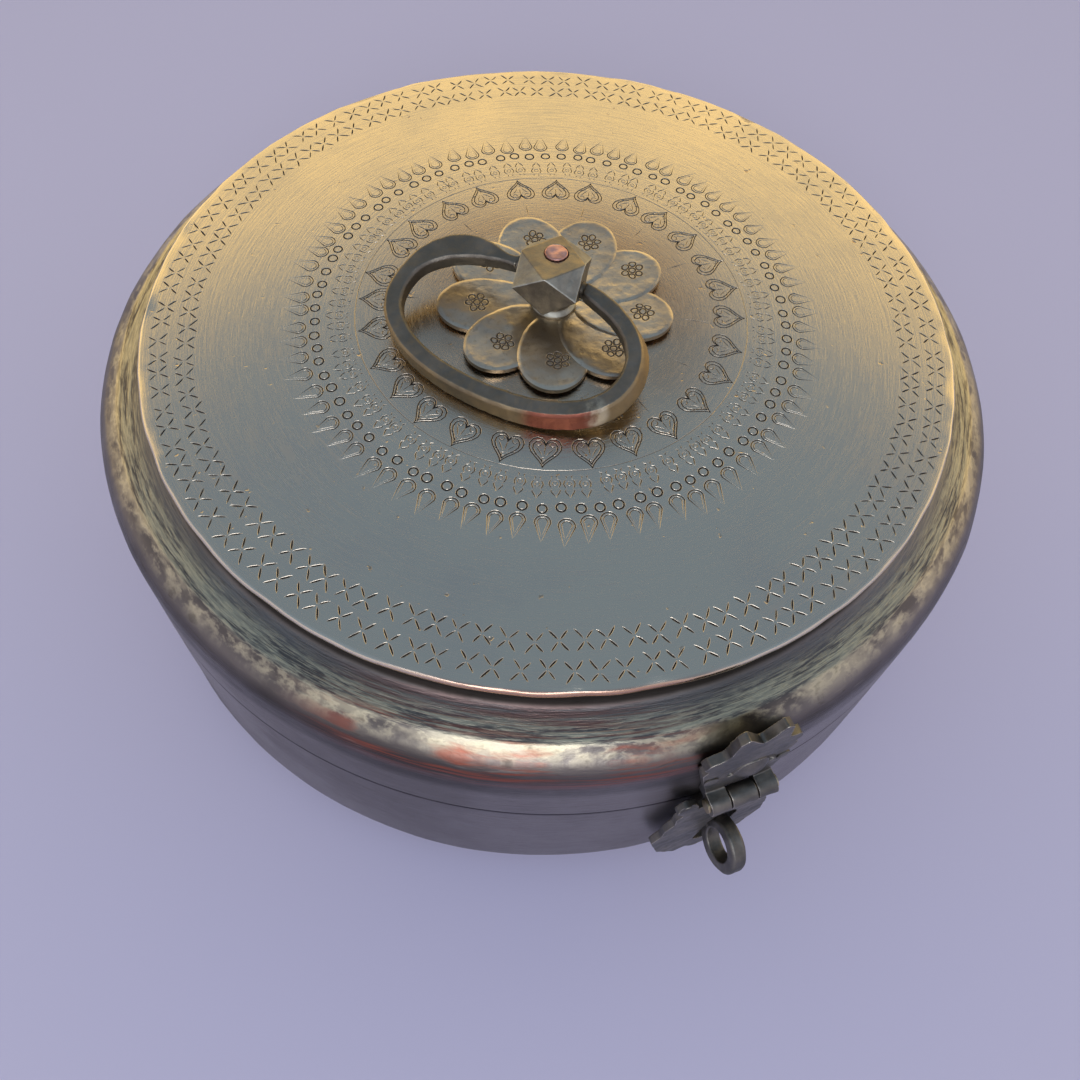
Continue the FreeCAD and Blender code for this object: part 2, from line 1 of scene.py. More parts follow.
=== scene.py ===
import json
import math
import random

import bmesh
import bpy
import numpy as np
from mathutils import Matrix, Vector, geometry, kdtree, noise


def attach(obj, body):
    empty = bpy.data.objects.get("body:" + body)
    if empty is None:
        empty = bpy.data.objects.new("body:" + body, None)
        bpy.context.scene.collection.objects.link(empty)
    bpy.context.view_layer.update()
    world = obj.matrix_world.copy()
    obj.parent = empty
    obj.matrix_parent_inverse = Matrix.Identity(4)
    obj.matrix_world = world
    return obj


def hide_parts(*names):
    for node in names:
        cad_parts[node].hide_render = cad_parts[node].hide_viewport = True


# Old brass box for flat breads: punched lid disc, nine-petalled flower, faceted post with an
# oval drop handle, hasp and ring staple. Lengths below are in mm and angles in degrees.

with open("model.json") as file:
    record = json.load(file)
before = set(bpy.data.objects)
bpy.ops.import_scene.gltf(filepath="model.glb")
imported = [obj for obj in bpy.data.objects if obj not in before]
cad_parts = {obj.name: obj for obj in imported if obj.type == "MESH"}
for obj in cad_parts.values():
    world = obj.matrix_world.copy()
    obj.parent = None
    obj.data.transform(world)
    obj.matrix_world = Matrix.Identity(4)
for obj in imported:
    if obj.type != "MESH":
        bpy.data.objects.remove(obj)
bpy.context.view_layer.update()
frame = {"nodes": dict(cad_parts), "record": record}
nodes = frame["nodes"]
mm = 0.001


# ---- Shader maths

class Value:  # a socket that sums, products and powers can be written with
    def __init__(self, tree, socket):
        self.tree = tree
        self.socket = socket

    def maths(self, operation, *values):
        return self.tree.add("ShaderNodeMath", {"operation": operation}, dict(enumerate(values)))

    def __add__(self, other):
        return self.maths("ADD", self, other)

    def __radd__(self, other):
        return self.maths("ADD", other, self)

    def __sub__(self, other):
        return self.maths("SUBTRACT", self, other)

    def __rsub__(self, other):
        return self.maths("SUBTRACT", other, self)

    def __mul__(self, other):
        return self.maths("MULTIPLY", self, other)

    def __rmul__(self, other):
        return self.maths("MULTIPLY", other, self)

    def __truediv__(self, other):
        return self.maths("DIVIDE", self, other)

    def __rtruediv__(self, other):
        return self.maths("DIVIDE", other, self)

    def __pow__(self, other):
        return self.maths("POWER", self, other)

    def least(self, other):
        return self.maths("MINIMUM", self, other)

    def most(self, other):
        return self.maths("MAXIMUM", self, other)

    def held(self):  # kept between 0 and 1
        return self.least(1.0).most(0.0)

    def folded(self, pitch):  # the part left over from the nearest whole number of pitches
        return self.maths("FLOORED_MODULO", self + pitch / 2, pitch) - pitch / 2


class Tree:  # adds nodes to a node tree
    def __init__(self, nodeTree):
        self.nodes = nodeTree.nodes
        self.links = nodeTree.links

    def feed(self, socket, value):
        if isinstance(value, Value):
            self.links.new(value.socket, socket)
        elif isinstance(value, (tuple, list)) and len(value) == 3 and len(socket.default_value) == 4:
            socket.default_value = (*value, 1.0)
        else:
            socket.default_value = value

    def add(self, kind, settings=None, sockets=None, output=0):
        node = self.nodes.new(kind)
        for name, setting in (settings or {}).items():
            if name == "stops":
                while len(node.color_ramp.elements) < len(setting):
                    node.color_ramp.elements.new(0.5)
                for element, (place, colour) in zip(node.color_ramp.elements, setting):
                    element.position = place
                    element.color = (*colour, 1.0)
            else:
                setattr(node, name, setting)
        for name, value in (sockets or {}).items():
            self.feed(node.inputs[name], value)
        return Value(self, node.outputs[output])

    def parts(self, vector):
        split = self.add("ShaderNodeSeparateXYZ", None, {0: vector}).socket.node
        return [Value(self, output) for output in split.outputs]

    def blend(self, first, second, mask):
        return self.add("ShaderNodeMix", {"data_type": "RGBA"}, {0: mask, 6: first, 7: second}, 2)

    def vector(self, x, y, z):
        return self.add("ShaderNodeCombineXYZ", None, {0: x, 1: y, 2: z})

    def grain(self, place, scale, detail=3.0, roughness=0.55):
        sockets = {"Vector": place, "Scale": scale, "Detail": detail, "Roughness": roughness}
        return self.add("ShaderNodeTexNoise", None, sockets)

    def ramp(self, value, low, high):  # 0 at low, 1 at high, eased
        settings = {"interpolation_type": "SMOOTHSTEP"}
        return self.add("ShaderNodeMapRange", settings, {0: value, 1: low, 2: high, 3: 0.0, 4: 1.0})

    def band(self, value, low, high, soft):  # 1 between low and high
        return self.ramp(value, low - soft, low + soft) * (1.0 - self.ramp(value, high - soft, high + soft))


class Look(Tree):  # one material
    def __init__(self, name, **constants):
        self.material = bpy.data.materials.new(name)
        self.material.use_nodes = True
        super().__init__(self.material.node_tree)
        self.shader = self.nodes["Principled BSDF"]
        for socket, value in constants.items():
            self.shader.inputs[socket.replace("_", " ")].default_value = value

    def mark(self, name):  # a number that the piece's mesh carries
        return self.add("ShaderNodeAttribute", {"attribute_name": name}, None, 2)

    def set(self, **outputs):
        for socket, value in outputs.items():
            self.feed(self.shader.inputs[socket.replace("_", " ")], value)

    def bump(self, height, distance, strength=1.0, normal=None):
        sockets = {"Height": height, "Distance": distance, "Strength": strength}
        if normal is not None:
            sockets["Normal"] = normal
        return self.add("ShaderNodeBump", None, sockets)


class RoundLook(Look):  # for metal that was spun and scrubbed round the box's axis
    def __init__(self, name, **constants):
        super().__init__(name, **constants)
        self.place = self.add("ShaderNodeTexCoord", None, None, 3)
        self.x, self.y, self.z = [part / mm for part in self.parts(self.place)]
        self.radius = (self.x * self.x + self.y * self.y + 0.01) ** 0.5
        self.aside = self.x / self.radius
        self.ahead = self.y / self.radius

    def near(self, x, y, z, reach, soft):  # 1 within reach of a place, wavering a little
        away = ((self.x - x) * (self.x - x) + (self.y - y) * (self.y - y) + (self.z - z) * (self.z - z)) ** 0.5
        return 1.0 - self.ramp(away, reach - soft, reach + soft)

    def scratches(self, length, across, scale=1.0):  # long lines that run round the axis
        place = self.vector(self.aside * length, self.ahead * length, across * scale)
        return self.grain(place, 1.0, 4.0, 0.6)


# ---- Materials

def makeDiscBrass():
    colours = {
        "clean": (0.66, 0.58, 0.44), "grey": (0.44, 0.42, 0.38), "brown": (0.36, 0.225, 0.12),
        "groove": (0.016, 0.013, 0.010), "rim": (0.80, 0.72, 0.58), "red": (0.46, 0.20, 0.12),
    }
    look = RoundLook("discBrass", Metallic=1.0, Roughness=0.3)
    clouds = look.grain(look.place, 26.0, 5.0, 0.6)
    clouds2 = look.grain(look.place, 9.0, 3.0, 0.5)
    lines = look.scratches(9.0, look.radius, 1.9)
    fine = look.scratches(22.0, look.radius, 6.5)
    spots = look.grain(look.place, 420.0, 2.0)
    pits = look.ramp(spots, 0.70, 0.80)
    tarnish = (look.ramp(clouds, 0.42, 0.72) * 0.55 + look.ramp(clouds2, 0.45, 0.7) * 0.45).held()
    colour = look.blend(colours["clean"], colours["grey"], tarnish * 0.75)
    # darker brown round the middle, where the flower and handle stand: painted reflection of them and painted shade
    # beside them
    centre = 1.0 - look.ramp(look.radius + clouds * 22.0, 34.0, 66.0)
    colour = look.blend(colour, colours["brown"], (centre * (0.35 + look.ramp(clouds, 0.3, 0.75) * 0.6)).held())
    colour = look.blend(colour, colours["brown"], pits * 0.6)
    colour = look.blend(colour, colours["grey"], look.ramp(lines, 0.5, 0.75) * 0.35)
    # a lighter band at the disc's rolled rim: worn metal and a painted highlight
    edge = look.ramp(look.radius, 98.9, 99.6)
    colour = look.blend(colour, colours["rim"], edge * 0.7)
    # a painted reflection of something red, on the near part of the disc's rim
    redReflectionAtRim = look.band(look.x, -60.0, -5.0, 14.0) * look.band(look.y, -110.0, -62.0, 10.0)
    colour = look.blend(colour, colours["red"], edge * redReflectionAtRim * 0.7)
    groove = look.ramp(look.mark("groove"), 0.12, 0.45)
    colour = look.blend(colour, colours["groove"], groove)
    rough = 0.21 + tarnish * 0.10 + look.ramp(lines, 0.4, 0.8) * 0.10 + look.ramp(fine, 0.5, 0.8) * 0.08
    height = lines * 0.5 + fine * 0.25 + clouds * 0.6 - pits * 0.8
    look.set(Base_Color=colour, Roughness=(rough + groove * 0.5).held(), Metallic=1.0 - groove * 0.85,
             Normal=look.bump(height, 0.00009))
    return look.material


def makePetalBrass():
    s = flowerSettings
    look = RoundLook("petalBrass", Metallic=1.0, Roughness=0.35)
    clouds = look.grain(look.place, 70.0, 5.0, 0.6)
    streaks = look.grain(look.vector(look.x * 0.9, look.y * 0.9, look.z * 0.2), 1.0, 3.0, 0.6)
    grit = look.grain(look.place, 900.0, 2.0, 0.6)
    # seven ringlets stamped into each petal, found by folding the angle once per petal and once per ringlet
    waver = (look.grain(look.place, 330.0, 1.0) - 0.5) * 1.1
    across, ahead = look.x - s["stampMiddle"][0] + waver, look.y - s["stampMiddle"][1] + waver
    reach = (across * across + ahead * ahead) ** 0.5
    pitch = 2 * math.pi / s["count"]
    around = (ahead.maths("ARCTAN2", ahead, across) - math.radians(s["firstAngle"])).folded(pitch)
    along = reach * around.maths("COSINE", around) - s["stampRing"]
    aside = reach * around.maths("SINE", around)
    span = (along * along + aside * aside) ** 0.5
    sixth = aside.maths("ARCTAN2", aside, along).folded(math.pi / 3)
    outer = span * sixth.maths("COSINE", sixth) - s["ringletReach"]
    sideways = span * sixth.maths("SINE", sixth)
    apart = ((outer * outer + sideways * sideways) ** 0.5).least(span)
    ringlet = look.band(apart, s["ringlet"] - 0.16, s["ringlet"] + 0.18, 0.12) * (1.0 - look.ramp(span, 3.1, 3.5))
    colour = look.blend((0.62, 0.53, 0.39), (0.42, 0.36, 0.28), look.ramp(clouds, 0.38, 0.68))
    colour = look.blend(colour, (0.32, 0.24, 0.16), look.ramp(grit, 0.56, 0.72) * 0.4)
    # the petals' rims lightened: worn metal and painted highlight
    colour = look.blend(colour, (0.85, 0.76, 0.58), (look.mark("wear") * (0.6 + clouds * 0.6)).held())
    colour = look.blend(colour, (0.025, 0.02, 0.016), ringlet * 0.95)
    rough = 0.27 + look.ramp(clouds, 0.3, 0.8) * 0.16 + ringlet * 0.4
    height = clouds * 0.5 + streaks * 0.4 + grit * 0.15 - ringlet * 2.6
    look.set(Base_Color=colour, Roughness=rough.held(), Metallic=1.0 - ringlet * 0.8, Normal=look.bump(height, 0.00016))
    return look.material


def makeWallBrass():
    look = RoundLook("wallBrass", Metallic=1.0, Roughness=0.36)
    clouds = look.grain(look.place, 18.0, 5.0, 0.6)
    patches = look.grain(look.place, 7.0, 2.0, 0.5)
    across = look.z + look.radius * 0.9
    lines = look.scratches(7.0, across, 1.5)
    fine = look.scratches(26.0, across, 4.5)
    shoulderReflectionBand = look.band(look.radius, 102.5, 110.5, 2.2) * look.ramp(look.z, 74.0, 78.5)
    shadeBelowShoulder = look.band(look.z, 64.0, 75.5, 2.5)
    shadeBelowDiscRim = look.ramp(look.z, 80.3, 81.5) * (1.0 - look.ramp(look.radius, 99.5, 101.5))
    # the wall's base colours are kept about half as bright as the disc's: painted shade standing for the dark
    # surroundings the wall reflects
    colour = look.blend((0.27, 0.245, 0.225), (0.17, 0.155, 0.145), look.ramp(clouds, 0.35, 0.7))
    colour = look.blend(colour, (0.27, 0.25, 0.26), look.ramp(patches, 0.45, 0.62) * 0.5)
    # painted shade: a dark band round the wall just below the shoulder
    colour = look.blend(colour, (0.06, 0.052, 0.045), shadeBelowShoulder * (0.55 + look.ramp(clouds, 0.3, 0.7) * 0.4))
    bright = (look.ramp(lines, 0.40, 0.60) * 0.65 + look.ramp(fine, 0.45, 0.62) * 0.6).held()
    # the shoulder painted dark between its scratches and bright gold along them: painted reflection and painted
    # highlight streaks
    colour = look.blend(colour, (0.10, 0.09, 0.08), shoulderReflectionBand * (1.0 - bright) * 0.75)
    colour = look.blend(colour, (0.62, 0.56, 0.38), shoulderReflectionBand * bright * 0.9)
    # painted reflection of something red, in streaks on the front of the shoulder
    front = look.band(look.x, -80.0, -12.0, 12.0) * (1.0 - look.ramp(look.y, -80.0, -60.0))
    redReflectionStreaks = look.ramp(look.scratches(4.0, across, 2.4), 0.42, 0.60)
    colour = look.blend(colour, (0.34, 0.10, 0.06), front * look.band(look.z, 70.0, 80.0, 2.5) * redReflectionStreaks * 0.85)
    colour = look.blend(colour, (0.46, 0.42, 0.34), look.ramp(lines, 0.58, 0.75) * 0.3)
    colour = look.blend(colour, (0.08, 0.07, 0.06), look.ramp(fine, 0.58, 0.74) * 0.45)
    seam = look.band(look.z, 50.4, 51.7, 0.35)
    colour = look.blend(colour, (0.05, 0.04, 0.04), (seam * 0.8).held())
    # painted shade: the narrow band beneath the disc's overhang made near black
    colour = look.blend(colour, (0.03, 0.026, 0.02), shadeBelowDiscRim * 0.85)
    rough = 0.30 + look.ramp(clouds, 0.3, 0.8) * 0.14 + look.ramp(fine, 0.4, 0.8) * 0.12 + shadeBelowDiscRim * 0.3
    height = lines * 0.7 + fine * 0.5 + clouds * 0.8
    look.set(Base_Color=colour, Roughness=rough.held(), Normal=look.bump(height, 0.00018))
    return look.material


def castLook(name, dark, light, bright, grain):
    look = RoundLook(name, Metallic=1.0, Roughness=0.42)
    look.clouds = look.grain(look.place, grain, 5.0, 0.65)
    look.grit = look.grain(look.place, 700.0, 3.0, 0.6)
    # worn edges, also lightened as a painted highlight
    look.wear = look.ramp((look.mark("wear") * 1.2 + (look.clouds - 0.5) * 0.5).held(), 0.30, 0.85)
    look.colour = look.blend(dark, light, look.ramp(look.clouds, 0.35, 0.7))
    look.bright = bright
    return look


def finishCast(look):
    colour = look.blend(look.colour, look.bright, look.wear * 0.85)
    rough = 0.46 - look.wear * 0.18 + look.ramp(look.grit, 0.4, 0.8) * 0.12
    look.set(Base_Color=colour, Roughness=rough, Normal=look.bump(look.clouds * 1.2 + look.grit * 0.35, 0.00018))
    return look.material


def makeCastBrass():  # hasp and staple
    return finishCast(castLook("castBrass", (0.12, 0.118, 0.108), (0.22, 0.205, 0.175), (0.66, 0.61, 0.50), 120.0))


def makeHandleBrass():  # dark flat top, thin bright rims as worn edges and painted highlight, yellower on its outside as a painted reflection, a painted red reflection at the front
    look = castLook("handleBrass", (0.15, 0.138, 0.112), (0.225, 0.20, 0.16), (0.80, 0.74, 0.58), 90.0)
    # painted reflection: the faces turned outwards from the handle's middle made yellower
    outside = look.ramp(look.mark("outer"), 0.25, 0.65)
    look.colour = look.blend(look.colour, (0.36, 0.27, 0.14), outside * (0.35 + look.ramp(look.clouds, 0.3, 0.7) * 0.55))
    # painted reflection of something red on the handle's outside, near the front
    redReflectionOnHandle = look.near(-12.5, -36.0, 95.0, 8.5, 2.0) * outside
    look.colour = look.blend(look.colour, (0.25, 0.07, 0.05), redReflectionOnHandle * 0.85)
    filed = look.near(-4.6, -36.5, 96.5, 3.2, 0.8)
    look.colour = look.blend(look.colour, (0.70, 0.64, 0.48), filed * look.ramp(look.clouds, 0.4, 0.62) * 0.9)
    return finishCast(look)


def makePostBrass():  # golden brown top as painted light, grey sloping faces as painted reflection, dark sides, punched dots on one face
    look = castLook("postBrass", (0.17, 0.15, 0.12), (0.27, 0.24, 0.18), (0.78, 0.74, 0.58), 150.0)
    # painted light: the upward faces made golden brown
    top = look.ramp(look.mark("facing"), 0.75, 0.95)
    look.colour = look.blend(look.colour, (0.45, 0.35, 0.20), top * (0.55 + look.ramp(look.clouds, 0.3, 0.7) * 0.4))
    # painted reflection: the sloping faces made grey
    slopingFacetReflection = look.band(look.mark("facing"), 0.25, 0.75, 0.05)
    look.colour = look.blend(look.colour, (0.46, 0.47, 0.40), slopingFacetReflection * (0.5 + look.ramp(look.clouds, 0.35, 0.65) * 0.5))
    for x, y, z in ((-6.0, -3.4, 101.6), (-5.2, -4.2, 100.8), (-4.4, -5.0, 100.2)):
        look.colour = look.blend(look.colour, (0.62, 0.58, 0.52), look.near(x, y, z, 0.75, 0.25) * 0.8)
    return finishCast(look)


def makePlainMetal(name, light, dark, scale, roughness):
    look = RoundLook(name, Metallic=1.0, Roughness=roughness)
    clouds = look.grain(look.place, scale, 5.0, 0.6)
    grit = look.grain(look.place, scale * 6.0, 2.0, 0.6)
    colour = look.blend(light, dark, look.ramp(clouds, 0.35, 0.7))
    look.set(Base_Color=colour, Roughness=roughness + look.ramp(grit, 0.4, 0.8) * 0.15,
             Normal=look.bump(clouds + grit * 0.3, 0.00015))
    return look.material


flowerSettings = {
    "count": 9, "firstAngle": 6.5, "petalCentre": 18.6, "halfLength": 10.5, "halfWidth": 8.5, "foot": 4.5,
    "sheet": 1.1, "cup": 1.0, "overlap": 0.32, "middle": (1.1, 1.0), "tip": 29.1, "base": 93.35,
    "stampRing": 20.5, "stampMiddle": (2.4, 1.2), "ringletReach": 2.0, "ringlet": 0.78,
}
discBrass = makeDiscBrass()
petalBrass = makePetalBrass()
wallBrass = makeWallBrass()
castBrass = makeCastBrass()
handleBrass = makeHandleBrass()
postBrass = makePostBrass()
copper = makePlainMetal("copper", (0.72, 0.42, 0.36), (0.42, 0.22, 0.17), 260.0, 0.38)
hingeBrass = makePlainMetal("hingeBrass", (0.50, 0.42, 0.28), (0.30, 0.25, 0.17), 150.0, 0.38)
slotLooks = {
    "disc_brass": discBrass, "petal_brass": petalBrass, "wall_brass": wallBrass,
    "cast_brass": castBrass, "copper_rivet": copper, "hinge_brass": hingeBrass,
}
for entry in frame["record"]["subparts"]:
    node = nodes[entry["node"]]
    node.data.materials.clear()
    node.data.materials.append(slotLooks[entry["material_slot"]])
print("materials ready")


# ---- Mesh helpers

def addPiece(name, mesh, body, slot, replaced, look=None):
    piece = bpy.data.objects.new(name, mesh)
    bpy.context.scene.collection.objects.link(piece)
    if not mesh.materials:
        mesh.materials.append(look or slotLooks[slot])
    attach(piece, body)
    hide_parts(*replaced)
    return piece


def carry(mesh, name, values):  # writes one number per vertex for the material to read
    mesh.attributes.new(name, "FLOAT", "POINT").data.foreach_set("value", values)


def roundedPath(points, arcStep=0.35):
    places = [Vector(point[:2]) for point in points]
    path = [places[0]]
    for index in range(1, len(points) - 1):
        place, radius = places[index], points[index][2]
        back = (places[index - 1] - place).normalized()
        onward = (places[index + 1] - place).normalized()
        if radius <= 0:
            path.append(place)
            continue
        half = back.angle(onward) / 2
        centre = place + (back + onward).normalized() * (radius / math.sin(half))
        reach = radius / math.tan(half)
        start = place + back * reach - centre
        turn = start.angle_signed(place + onward * reach - centre)
        steps = max(3, math.ceil(abs(turn) * radius / arcStep))
        for step in range(steps + 1):
            path.append(centre + Matrix.Rotation(-turn * step / steps, 2) @ start)
    path.append(places[-1])
    return path


def insetPath(points, depth):  # the same path moved to its right, as a sheet's inner face
    places = [Vector(point[:2]) for point in points]
    headings = [(b - a).normalized() for a, b in zip(places, places[1:])]
    moved = []
    for index, (across, height, radius) in enumerate(points):
        before = headings[max(index - 1, 0)]
        after = headings[min(index, len(headings) - 1)]
        sideBefore, sideAfter = Vector((before.y, -before.x)), Vector((after.y, -after.x))
        shift = (sideBefore + sideAfter) * (depth / (1 + sideBefore.dot(sideAfter)))
        turn = before.x * after.y - before.y * after.x
        moved.append((across + shift.x, height + shift.y, max(radius - depth, 0.3) if turn < 0 else radius + depth))
    return moved


def evenly(path, step):  # no run longer than step
    dense = [path[0]]
    for place in path[1:]:
        gap = place - dense[-1]
        count = max(1, math.ceil(gap.length / step))
        start = dense[-1]
        for part in range(1, count + 1):
            dense.append(start + gap * (part / count))
    return dense


def spin(name, ring, segments, shape):
    # a closed section turned round the axis; shape(angle, across, height) gives each place
    mesh = bpy.data.meshes.new(name)
    verts, faces, index = [], [], {}
    for turn in range(segments):
        angle = 2 * math.pi * turn / segments
        for place, point in enumerate(ring):
            if point.x < 1e-6 and turn > 0:
                index[turn, place] = index[0, place]
                continue
            index[turn, place] = len(verts)
            verts.append(shape(angle, point.x, point.y) * mm)
    for turn in range(segments):
        following = (turn + 1) % segments
        for place in range(len(ring)):
            after = (place + 1) % len(ring)
            corners = [index[turn, place], index[following, place], index[following, after], index[turn, after]]
            face = list(dict.fromkeys(corners))
            if len(face) > 2:
                faces.append(face)
    mesh.from_pydata(verts, [], faces)
    bm = bmesh.new()
    bm.from_mesh(mesh)
    bmesh.ops.recalc_face_normals(bm, faces=bm.faces)
    for face in bm.faces:
        face.smooth = True
    bm.to_mesh(mesh)
    bm.free()
    mesh.set_sharp_from_angle(angle=math.radians(38))
    return mesh


def unevenness(angle, across, height, scale, amount, seed):  # slow dents of a hand-beaten sheet
    place = Vector((math.cos(angle) * across, math.sin(angle) * across, height)) / scale
    return noise.noise(place + Vector((seed, seed * 1.7, -seed))) * amount


# ---- Body: lid ring, bowl

bodySettings = {
    "segments": 288, "wall": 113.4, "rim": 88.0, "seam": 51.0, "gap": 0.3, "sheet": 1.2,
    "dent": 0.35, "ripple": 0.10,
}


def beaten(seed):
    dent, ripple = bodySettings["dent"], bodySettings["ripple"]

    def shape(angle, across, height):
        edge = min(1.0, max(0.0, (abs(height - bodySettings["seam"]) - 1.0) / 8.0))
        fade = min(1.0, height / 6.0) * edge
        out = -abs(unevenness(angle, across, height, 26.0, dent, seed)) * fade
        out -= abs(unevenness(angle, across, height, 7.0, ripple, seed + 5)) * fade
        across = across + (out if across > 60 else 0)
        return Vector((math.cos(angle) * across, math.sin(angle) * across, height))
    return shape


def makeLidShell():
    s = bodySettings
    outside = [
        (92.0, 86.64, 0), (98.6, 86.12, 1.3), (98.6, s["rim"] - 7.2, 2.5), (107.2, s["rim"] - 8.6, 3.0),
        (s["wall"], s["rim"] - 13.5, 8.0), (s["wall"], s["seam"] + s["gap"], 0),
    ]
    inside = insetPath(outside, s["sheet"])
    ring = evenly(roundedPath(outside), 1.2) + evenly(roundedPath(inside), 1.5)[::-1]
    mesh = spin("lidShell", ring, s["segments"], beaten(3.0))
    return addPiece("lidShell", mesh, "lid", "wall_brass", ["lid_ring"])


def makeBaseShell():
    s = bodySettings
    outside = [
        (s["wall"], s["seam"], 0), (s["wall"], 10.5, 8.0), (107.2, 5.8, 3.0), (99.2, 5.0, 2.5),
        (98.2, 0.0, 1.5), (0.0, 0.0, 0),
    ]
    inside = insetPath(outside, s["sheet"])
    ring = evenly(roundedPath(outside), 1.5) + evenly(roundedPath(inside), 1.8)[::-1]
    mesh = spin("baseShell", ring, s["segments"], beaten(11.0))
    return addPiece("baseShell", mesh, "base", "wall_brass", ["base_bowl"])


lidShell = makeLidShell()
baseShell = makeBaseShell()
print("lid ring and bowl made")


# ---- Engraving: strokes are cut as V grooves into the sheet's own mesh

class Engraving:
    def __init__(self, slope):
        self.slope = slope  # depth of a groove over its half width
        self.points, self.edges, self.bands, self.centres = [], [], [], []

    def cut(self, path, width, closed=False, taper=True):
        path = [Vector(point) for point in path]
        count = len(path)
        rows = []
        for index, point in enumerate(path):
            before = path[index - 1] if (closed or index) else point
            after = path[(index + 1) % count] if (closed or index < count - 1) else point
            along = (after - before).normalized()
            half = width / 2
            if taper and not closed:
                part = index / (count - 1)
                half *= min(1.0, 0.15 + 3.0 * min(part, 1 - part))
            side = Vector((-along.y, along.x)) * half
            start = len(self.points)
            self.points += [point + side, point, point - side]
            rows.append((start, start + 1, start + 2, half))
        pairs = list(zip(rows, rows[1:])) + ([(rows[-1], rows[0])] if closed else [])
        for near, far in pairs:
            for lane in range(3):
                self.edges.append((near[lane], far[lane]))
            for lane in range(2):
                self.bands.append([near[lane], near[lane + 1], far[lane + 1], far[lane]])
            a, b = self.points[near[1]], self.points[far[1]]
            steps = max(1, math.ceil((b - a).length / 0.12))
            for step in range(steps):
                part = step / steps
                self.centres.append((a.lerp(b, part), near[3] + (far[3] - near[3]) * part))
        if not closed:
            for row in (rows[0], rows[-1]):
                self.edges += [(row[0], row[1]), (row[1], row[2])]

    def sheet(self, outline, filling, spare=0.5):
        # triangles over the outline, with every groove's lips and bottom as edges
        tree = kdtree.KDTree(len(self.centres))
        for index, (place, _) in enumerate(self.centres):
            tree.insert((place.x, place.y, 0), index)
        tree.balance()
        points = list(self.points)
        for point in filling:
            if tree.find((point[0], point[1], 0))[2] > spare:
                points.append(Vector(point))
        first = len(points)
        points += [Vector(point) for point in outline]
        edges = self.edges + [(first + i, first + (i + 1) % len(outline)) for i in range(len(outline))]
        result = geometry.delaunay_2d_cdt(points, edges, self.bands, 0, 1e-5)
        places, faces, origins = result[0], result[2], result[5]
        depths = []
        for place in places:
            _, index, distance = tree.find((place.x, place.y, 0))
            depths.append(max(0.0, self.centres[index][1] - distance) * self.slope)
        return places, faces, [bool(origin) for origin in origins], depths


def placed(path, angle, radius, turn=0.0, size=1.0):  # (across, outward) points set on a ring
    spinIt = Matrix.Rotation(turn, 2)
    outward = Vector((math.cos(angle), math.sin(angle)))
    across = Vector((-outward.y, outward.x))
    moved = []
    for point in path:
        local = spinIt @ (Vector(point) * size)
        moved.append(outward * (radius + local.y) + across * local.x)
    return moved


def circlePath(radius, count, centre=(0, 0)):
    steps = [2 * math.pi * i / count for i in range(count)]
    return [(centre[0] + radius * math.cos(t), centre[1] + radius * math.sin(t)) for t in steps]


# ---- Lid disc with its punched rings

discSettings = {
    "radius": 100.0, "rise": 4.15, "sheet": 2.0, "edge": 0.8, "outline": 288, "groove": 0.50, "slope": 0.75,
    "crossRings": [(95.0, 109, 0.0), (88.7, 109, 0.5)], "crossReach": (2.0, 2.4),
    "leaves": (76, 60.0, 6.8, 3.6), "ringlets": (84, 57.8, 1.12), "buds": (84, 49.4, 6.0),
    "innerCircle": 48.2, "hearts": (28, 39.4, 7.9, 7.4), "heartStart": 3.0,
    "ticks": [232.0, 283.9, 310.9, 334.6, 5.5, 29.4, 55.5, 79.2, 107.0, 130.0, 155.0, 181.0, 206.0, 258.0],
}
dice = random.Random(7)


def domeHeight(radius):
    return bodySettings["rim"] + discSettings["rise"] * (1 - (radius / discSettings["radius"]) ** 2)


def jitter(amount):
    return dice.uniform(-amount, amount)


def cutCrosses(work):
    reachAcross, reachOut = discSettings["crossReach"]
    for radius, count, offset in discSettings["crossRings"]:
        for number in range(count):
            angle = 2 * math.pi * (number + offset + jitter(0.10)) / count
            ring = radius + jitter(0.35)
            turn = jitter(0.10)
            size = 1 + jitter(0.06)
            for sideways in (-1, 1):
                for outward in (-1, 1):
                    start = Vector((sideways * 0.16, outward * 0.20)) + Vector((jitter(0.08), jitter(0.08)))
                    end = Vector((sideways * reachAcross, outward * reachOut)) * (1 + jitter(0.10))
                    bow = Vector((-end.y, end.x)).normalized() * jitter(0.12)
                    path = [start.lerp(end, t) + bow * (4 * t * (1 - t)) for t in (0, 0.25, 0.5, 0.75, 1)]
                    work.cut(placed(path, angle, ring, turn, size), discSettings["groove"] * (1 + jitter(0.15)))


def leafPath(length, width, shrink):
    half = width / 2 - shrink
    base = half + shrink
    path = [(0.0, length - shrink * 2.2)]
    for step in range(9):
        turn = math.pi * step / 8
        path.append((half * math.cos(turn), base - half * math.sin(turn) * 1.0))
    path.append((0.0, length - shrink * 2.2))
    return path


def cutLeaves(work):
    count, inner, length, width = discSettings["leaves"]
    for number in range(count):
        angle = 2 * math.pi * (number + jitter(0.12)) / count
        ring = inner + jitter(0.5)
        turn = 0.10 + jitter(0.09)
        for shrink in (0.0, 0.62):
            path = evenly([Vector(p) for p in leafPath(length, width, shrink)], 1.3)
            groove = discSettings["groove"] * (0.62 if shrink else 0.80)
            work.cut(placed(path, angle, ring, turn, 1 + jitter(0.04)), groove)


def cutRinglets(work):
    count, ring, radius = discSettings["ringlets"]
    for number in range(count):
        angle = 2 * math.pi * (number + 0.4 + jitter(0.14)) / count
        path = circlePath(radius * (1 + jitter(0.06)), 14)
        work.cut(placed(path, angle, ring + jitter(0.35)), discSettings["groove"] * 1.05, closed=True)


